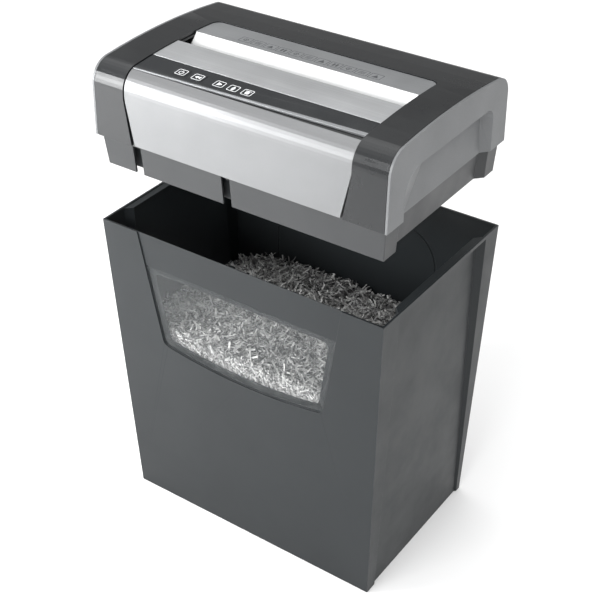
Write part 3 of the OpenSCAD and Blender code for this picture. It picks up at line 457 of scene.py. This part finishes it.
def make_heap():
    rnd = random.Random(12)
    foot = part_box("paper_shreds")[0].z
    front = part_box("bin_tub")[0].y
    hills = [(rnd.uniform(-0.15, 0.15), rnd.uniform(-0.09, 0.09), rnd.uniform(0.012, 0.035),
              rnd.uniform(-0.0045, 0.0045)) for _ in range(LUMPS)]

    def front_y(z):
        """Front face of the heap, just inside the leaning front wall."""
        return front + FRONT_GAP + FRONT_LEAN * (1 - z / BIN_HEIGHT)

    def rear_y(z):
        """Rear face of the heap, just inside the leaning back wall."""
        return -front - REAR_GAP - REAR_LEAN * (1 - z / BIN_HEIGHT)

    # the mass: a lumpy top with walls down to the floor of the bin
    nx, ny = 150, 96
    verts, faces = [], []
    for j in range(ny + 1):
        for i in range(nx + 1):
            u, v = i / nx, j / ny
            hw = bin_half_width(WALL_LEVEL) - WALL_CLEARANCE
            x = -hw + 2 * hw * u
            y = front_y(WALL_LEVEL) + (rear_y(WALL_LEVEL) - front_y(WALL_LEVEL)) * v
            fine = 0.0016 * math.sin(x * 410 + 3 * math.sin(y * 170)) * math.cos(y * 350 + x * 90)
            verts.append((x, y, heap_height(x, y, hills) - MASS_SINK + fine))
    for j in range(ny):
        for i in range(nx):
            a = j * (nx + 1) + i
            faces.append((a, a + 1, a + nx + 2, a + nx + 1))
    rim = list(range(nx + 1)) + [(j + 1) * (nx + 1) + nx for j in range(ny)]
    rim += [ny * (nx + 1) + i for i in range(nx - 1, -1, -1)] + [j * (nx + 1) for j in range(ny - 1, 0, -1)]
    levels = [0.215, 0.16, 0.08, foot + 0.0004]
    previous = rim
    for z in levels:
        start = len(verts)
        k = (bin_half_width(z) - WALL_CLEARANCE) / (bin_half_width(WALL_LEVEL) - WALL_CLEARANCE)
        mid_top = (front_y(WALL_LEVEL) + rear_y(WALL_LEVEL)) / 2
        half_top = (rear_y(WALL_LEVEL) - front_y(WALL_LEVEL)) / 2
        mid, half = (front_y(z) + rear_y(z)) / 2, (rear_y(z) - front_y(z)) / 2
        for index in rim:
            x, y, _ = verts[index]
            verts.append((x * k, mid + (y - mid_top) * half / half_top, z))
        ring = list(range(start, start + len(rim)))
        for a in range(len(rim)):
            b = (a + 1) % len(rim)
            faces.append((previous[a], ring[a], ring[b], previous[b]))
        previous = ring
    faces.append(tuple(reversed(previous)))
    mesh = bpy.data.meshes.new("paper_mass")
    mesh.from_pydata(verts, [], faces)
    mesh.validate()
    # the mass's dark colour is painted shade between the strips
    mass = add_object("paper_mass", mesh, MATERIALS["paper_mass"], "bin", smooth=True)

    # the loose strips: thin curled ribbons, closed all round
    sv, sf = [], []

    def keep_in(p):
        hw = bin_half_width(p.z) - 0.0006
        y = min(rear_y(p.z) + 0.001, max(front_y(p.z) - 0.0012, p.y))
        return (min(hw, max(-hw, p.x)), y, p.z)

    def ribbon(centre, heading, pitch, roll, length, width, curl):
        steps = 4
        turn = Matrix.Rotation(heading, 3, "Z") @ Matrix.Rotation(pitch, 3, "Y")
        turn = turn @ Matrix.Rotation(roll, 3, "X")
        start = len(sv)
        for s in range(steps):
            t = s / (steps - 1) - 0.5
            a = curl * t
            along = length * (math.sin(a) / curl if abs(curl) > 1e-3 else t)
            rise = length * ((1 - math.cos(a)) / curl if abs(curl) > 1e-3 else 0.0)
            for side, lift in ((-1, 0), (1, 0), (1, 1), (-1, 1)):
                p = turn @ Vector((along, side * width / 2, rise + lift * STRIP_THICKNESS)) + centre
                sv.append(keep_in(p))
        for s in range(steps - 1):
            a = start + 4 * s
            for e in range(4):
                f = (e + 1) % 4
                sf.append((a + e, a + f, a + 4 + f, a + 4 + e))
        sf.append((start + 3, start + 2, start + 1, start))
        end = start + 4 * (steps - 1)
        sf.append((end, end + 1, end + 2, end + 3))

    for _ in range(TOP_STRIPS):
        x = rnd.uniform(-0.158, 0.158)
        y = rnd.uniform(front_y(0.245) + 0.002, rear_y(0.23) - 0.002)
        level = rnd.random()
        z = heap_height(x, y, hills) - MASS_SINK + 0.0065 * level
        pitch = rnd.gauss(0, 0.20 + 0.30 * level)
        ribbon(Vector((x, y, z)), rnd.uniform(0, math.tau), pitch, rnd.gauss(0, 0.5),
               rnd.uniform(0.007, 0.015), rnd.uniform(*STRIP_WIDTH), rnd.gauss(0, 0.7))
    # strips pressed against the front wall and the window
    for _ in range(FRONT_STRIPS):
        z = rnd.uniform(0.222, 0.2465)
        x = rnd.uniform(-0.118, 0.118)
        y = front_y(z) + rnd.uniform(-0.0004, 0.0040)
        ribbon(Vector((x, y, z)), rnd.gauss(0, 0.35), rnd.uniform(0, math.tau), ON_EDGE + rnd.gauss(0, 0.3),
               rnd.uniform(0.007, 0.014), rnd.uniform(*STRIP_WIDTH), rnd.gauss(0, 0.6))
    mesh = bpy.data.meshes.new("paper_strips")
    mesh.from_pydata(sv, [], sf)
    mesh.validate()
    strips = add_object("paper_strips", mesh, MATERIALS["paper"], "bin")
    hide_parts("paper_shreds")
    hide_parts("paper_shreds")


make_heap()


# ---------------------------------------------------------------- printed symbols
def flat_piece(name, outlines, surface, lift, material, body):
    """Thin printed layer: closed loops in plan (metres), each with a hole or None, laid on a surface."""
    bm = bmesh.new()
    for loop, hole in outlines:
        if hole:
            n = len(loop)
            outer = [bm.verts.new((x, y, 0)) for x, y in loop]
            inner = [bm.verts.new((x, y, 0)) for x, y in hole]
            for i in range(n):
                j = (i + 1) % n
                bm.faces.new((outer[i], outer[j], inner[j], inner[i]))
        else:
            bm.faces.new([bm.verts.new((x, y, 0)) for x, y in loop])
    bmesh.ops.recalc_face_normals(bm, faces=bm.faces[:])
    for face in bm.faces[:]:
        if face.normal.z < 0:
            face.normal_flip()
    grown = bmesh.ops.extrude_face_region(bm, geom=bm.faces[:])
    top = {e for e in grown["geom"] if isinstance(e, bmesh.types.BMVert)}
    for vert in bm.verts:
        z = surface(vert.co.x, vert.co.y)
        vert.co.z = z + (lift if vert in top else -lift)
    bmesh.ops.recalc_face_normals(bm, faces=bm.faces[:])
    mesh = bpy.data.meshes.new(name)
    bm.to_mesh(mesh)
    bm.free()
    return add_object(name, mesh, material, body)


def rounded(cx, cy, w, h, r, steps=5):
    loop = []
    for sx, sy, start in ((1, 1, 0), (-1, 1, 90), (-1, -1, 180), (1, -1, 270)):
        for i in range(steps + 1):
            a = math.radians(start + 90 * i / steps)
            loop.append((cx + sx * (w / 2 - r) + r * math.cos(a), cy + sy * (h / 2 - r) + r * math.sin(a)))
    return loop


def ring_part(cx, cy, r0, r1, a0, a1, steps=20):
    """Closed outline of an arc of a ring."""
    outer = [(cx + r1 * math.cos(math.radians(a0 + (a1 - a0) * i / steps)),
              cy + r1 * math.sin(math.radians(a0 + (a1 - a0) * i / steps))) for i in range(steps + 1)]
    inner = [(cx + r0 * math.cos(math.radians(a1 - (a1 - a0) * i / steps)),
              cy + r0 * math.sin(math.radians(a1 - (a1 - a0) * i / steps))) for i in range(steps + 1)]
    return outer + inner


def bar(cx, cy, w, h, turn=0.0):
    c, s = math.cos(math.radians(turn)), math.sin(math.radians(turn))
    return [(cx + x * c - y * s, cy + x * s + y * c)
            for x, y in ((-w / 2, -h / 2), (w / 2, -h / 2), (w / 2, h / 2), (-w / 2, h / 2))]


def mm(loop):
    return [(x * MM, y * MM) for x, y in loop]


# Places of the symbols on the control strip, in mm
KEY_Y = -76.5
POWER_X, REVERSE_X, READY_X, HEAT_X, BIN_X = -84, -64, -37.7, -21, -4.5
PRINT_LIFT = 0.00006
# The row of marks on the rear panel, in mm
MARKS, MARK_PITCH, FIRST_MARK_X, MARK_Y = 11, 15.5, -77.5, 18.0
MARK_LIFT = 0.00005


def frame_ring(x, y, w, h, line, r):
    """Rounded outline with the hole that leaves a line of the given width."""
    return (mm(rounded(x, y, w, h, r)), mm(rounded(x, y, w - 2 * line, h - 2 * line, r - line * 0.8)))


def make_symbols():
    strip = surface_of("control_strip", "power_key", "reverse_key", "indicator_lenses")
    white = MATERIALS["print_white"]

    def symbol(name, x, glyphs, body):
        shapes = [frame_ring(x, KEY_Y, 11.6, 10.4, 0.75, 1.9)]
        shapes += [(mm(g), None) for g in glyphs]
        flat_piece(name, shapes, strip, PRINT_LIFT, white, body)

    x = POWER_X
    symbol("symbol_power", x, [ring_part(x, KEY_Y - 0.4, 2.1, 2.9, 120, 420), bar(x, KEY_Y + 1.9, 0.8, 3.0)],
           "power_button")
    x = REVERSE_X
    symbol("symbol_reverse", x, [
        [(x + 0.3, KEY_Y - 2.6), (x + 0.3, KEY_Y + 2.6), (x - 3.4, KEY_Y)],
        [(x + 3.6, KEY_Y - 2.6), (x + 3.6, KEY_Y + 2.6), (x - 0.1, KEY_Y)]], "reverse_button")
    x = READY_X
    symbol("symbol_ready", x, [[(x - 2.4, KEY_Y + 3.1), (x - 2.4, KEY_Y - 3.1), (x + 3.2, KEY_Y)]], "head")
    x = HEAT_X
    symbol("symbol_heat", x, [
        rounded(x, KEY_Y + 0.9, 1.5, 5.0, 0.7), ring_part(x, KEY_Y - 2.1, 0.0, 1.6, 0, 360)], "head")
    x = BIN_X
    symbol("symbol_bin", x, [
        [(x - 1.9, KEY_Y - 3.0), (x + 1.9, KEY_Y - 3.0), (x + 2.5, KEY_Y + 1.4), (x - 2.5, KEY_Y + 1.4)],
        bar(x, KEY_Y + 2.6, 6.2, 0.9)], "head")

    # a row of plain marks on the panel behind the slot
    rear = surface_of("rear_panel")
    shapes = []
    for i in range(MARKS):
        cx, cy = FIRST_MARK_X + MARK_PITCH * i, MARK_Y
        shapes.append(frame_ring(cx, cy, 13.6, 11.4, 0.6, 0.9))
        if i % 4 == 0:
            shapes.append((mm(ring_part(cx, cy, 2.0, 2.9, 0, 340)), None))
            shapes.append((mm(bar(cx, cy, 0.9, 3.0)), None))
        elif i % 4 == 1:
            for k in (-2.2, 0.0, 2.2):
                shapes.append((mm(bar(cx, cy + k, 7.4, 0.8)), None))
        elif i % 4 == 2:
            shapes.append((mm([(cx - 3.6, cy - 3.1), (cx + 3.6, cy - 3.1), (cx, cy + 3.3)]), None))
        else:
            shapes.append((mm(rounded(cx - 1.8, cy, 2.2, 6.2, 0.6)), None))
            shapes.append((mm(rounded(cx + 1.8, cy, 2.2, 6.2, 0.6)), None))
    flat_piece("panel_marks", shapes, rear, MARK_LIFT, MATERIALS["print_grey"], "head")


make_symbols()


# ---------------------------------------------------------------- floor and light
FLOOR_SIZE = 60.0
FLOOR_DROP = 0.0002
WORLD_STRENGTH = 0.30
DOME_STRENGTH, DOME_SPREAD = 1.9, 100
# name, place, aim, width, height (metres) and power (watts)
SOFTBOXES = [
    ("key", (-0.62, -0.66, 0.66), (-0.20, -0.10, 0.40), 0.32, 0.42, 8.5),
    ("low_card", (-0.80, -0.82, 0.17), (-0.18, -0.11, 0.30), 0.8, 0.30, 2.4),
    ("front_top", (0.0, -1.6, 1.15), (0, 0.1, 0.34), 1.4, 0.35, 20),
    ("overhead", (-0.2, 0.6, 2.6), (0, 0, 0.4), 3.4, 2.4, 18),
    ("right_fill", (1.9, 0.5, 1.3), (0, 0, 0.4), 1.0, 1.0, 4),
]


def make_stage():
    bm = bmesh.new()
    bmesh.ops.create_grid(bm, x_segments=8, y_segments=8, size=FLOOR_SIZE)
    mesh = bpy.data.meshes.new("floor")
    bm.to_mesh(mesh)
    bm.free()
    floor = bpy.data.objects.new("floor", mesh)
    bpy.context.scene.collection.objects.link(floor)
    g = Graph("floor_white")
    shade = g.noise(3, 2)
    g.link(g.mix(shade, (0.93, 0.93, 0.93), (0.96, 0.96, 0.96)), g.bsdf.inputs["Base Color"])
    g.bsdf.inputs["Roughness"].default_value = 0.95
    g.bsdf.inputs["Specular IOR Level"].default_value = 0.1
    mesh.materials.append(g.mat)
    floor.location.z = -FLOOR_DROP

    world = bpy.data.worlds.new("studio")
    world.use_nodes = True
    sky = world.node_tree.nodes["Background"]
    sky.inputs["Color"].default_value = (1, 1, 1, 1)
    sky.inputs["Strength"].default_value = WORLD_STRENGTH
    bpy.context.scene.world = world

    def softbox(name, place, aim, width, height, power):
        light = bpy.data.lights.new(name, "AREA")
        light.shape = "RECTANGLE"
        light.size = width
        light.size_y = height
        light.energy = power
        obj = bpy.data.objects.new(name, light)
        obj.location = place
        obj.rotation_euler = (Vector(aim) - Vector(place)).to_track_quat("-Z", "Y").to_euler()
        bpy.context.scene.collection.objects.link(obj)

    for values in SOFTBOXES:
        softbox(*values)
    dome = bpy.data.lights.new("dome", "SUN")
    dome.energy = DOME_STRENGTH
    dome.angle = math.radians(DOME_SPREAD)
    bpy.context.scene.collection.objects.link(bpy.data.objects.new("dome", dome))
    bpy.context.scene.view_settings.view_transform = "Standard"


make_stage()
